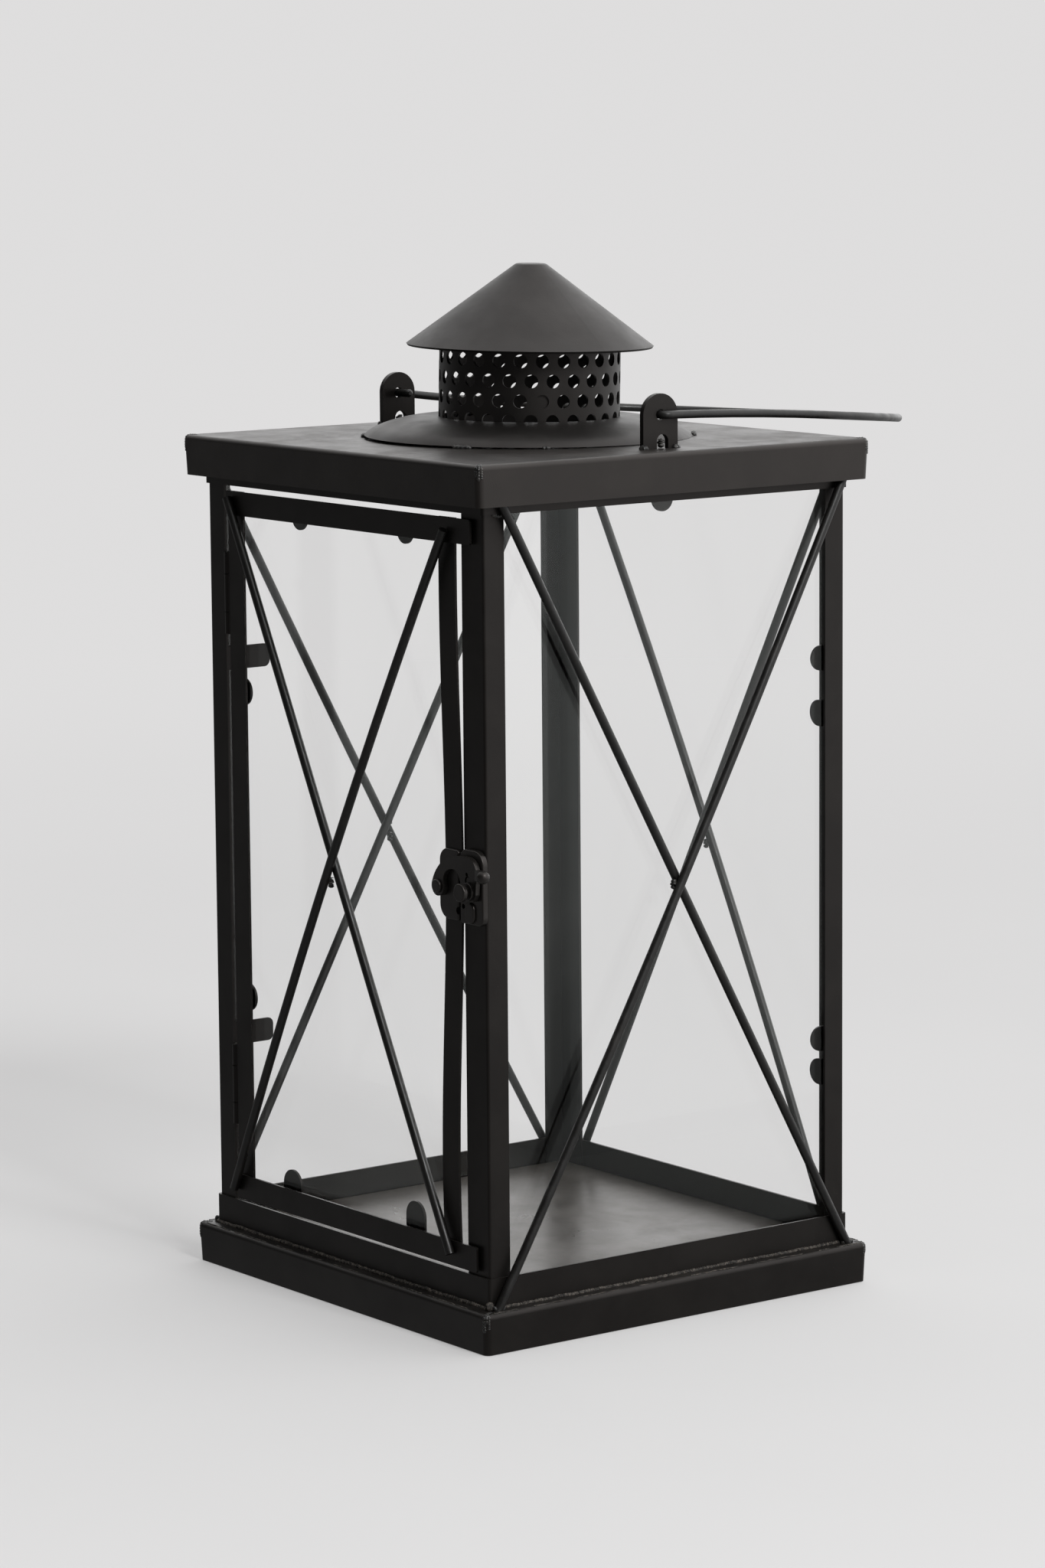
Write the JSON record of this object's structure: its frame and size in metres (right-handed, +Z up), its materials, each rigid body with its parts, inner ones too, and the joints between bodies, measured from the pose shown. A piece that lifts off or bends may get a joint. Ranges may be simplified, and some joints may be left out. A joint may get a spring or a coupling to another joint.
{
  "type": "candle lantern",
  "caption": "Square sheet-steel candle lantern with glazed sides, hinged latched door, crossed guard rods, perforated chimney with conical cap, and swinging wire bail.",
  "frame": {"origin": "middle of the lantern's footprint, in the plane it stands on", "axes": "+Z up, the door faces -Y, the door's hinges are on the -X side"},
  "size_m": [0.1886, 0.2513, 0.3809],
  "materials": {
    "sheet_steel": "near-black satin finish on folded sheet, dusty and lightly worn",
    "chimney_steel": "near-black satin finish on spun and perforated sheet",
    "wire_steel": "blackened round steel wire and rod, slightly brighter where rubbed",
    "pin_steel": "darkened plain steel pin",
    "glass": "clear flat window glass, 2 mm"
  },
  "bodies": {
    "root": {"band_seam": "chimney_steel", "base_pan": "sheet_steel", "base_tray": "sheet_steel", "candle_plate": "sheet_steel", "cap": "chimney_steel", "chimney_band": "chimney_steel", "chimney_flange": "chimney_steel", "clips_back": "sheet_steel", "clips_left": "sheet_steel", "clips_right": "sheet_steel", "ear_far": "sheet_steel", "ear_near": "sheet_steel", "hinge_frame_lower": "sheet_steel", "hinge_frame_upper": "sheet_steel", "hinge_pin_lower": "pin_steel", "hinge_pin_upper": "pin_steel", "keeper_peg": "sheet_steel", "keeper_plate": "sheet_steel", "pane_back": "glass", "pane_left": "glass", "pane_right": "glass", "post_back_left": "sheet_steel", "post_back_right": "sheet_steel", "post_hinge": "sheet_steel", "post_latch": "sheet_steel", "rod_back_inner": "wire_steel", "rod_back_outer": "wire_steel", "rod_left_inner": "wire_steel", "rod_left_outer": "wire_steel", "rod_right_inner": "wire_steel", "rod_right_outer": "wire_steel", "roof_tray": "sheet_steel", "upper_rim": "sheet_steel"},
    "door": {"door_clips": "sheet_steel", "door_pane": "glass", "door_rail_bottom": "sheet_steel", "door_rail_top": "sheet_steel", "door_rod_inner": "wire_steel", "door_rod_outer": "wire_steel", "door_stile_hinge": "sheet_steel", "door_stile_latch": "sheet_steel", "hinge_door_lower": "sheet_steel", "hinge_door_upper": "sheet_steel", "latch_door_plate": "sheet_steel", "latch_rivet": "sheet_steel"},
    "latch_hook": {"latch_hook": "sheet_steel", "hook_knob": "sheet_steel"},
    "bail": {"bail": "wire_steel"}
  },
  "joints": [
    {"name": "door_hinge", "type": "hinge", "parent": "root", "child": "door", "pos_m": [-0.0743, -0.0822, 0.1647], "axis": [0, 0, -1], "range_deg": [0, 90]},
    {"name": "hook_pivot", "type": "hinge", "parent": "door", "child": "latch_hook", "pos_m": [0.0634, -0.08575, 0.1656], "axis": [0, -1, 0], "range_deg": [0, 100]},
    {"name": "bail_swing", "type": "hinge", "parent": "root", "child": "bail", "pos_m": [0, 0.0007, 0.3292], "axis": [0.9998, 0.0219, 0], "range_deg": [0, 188]}
  ]
}
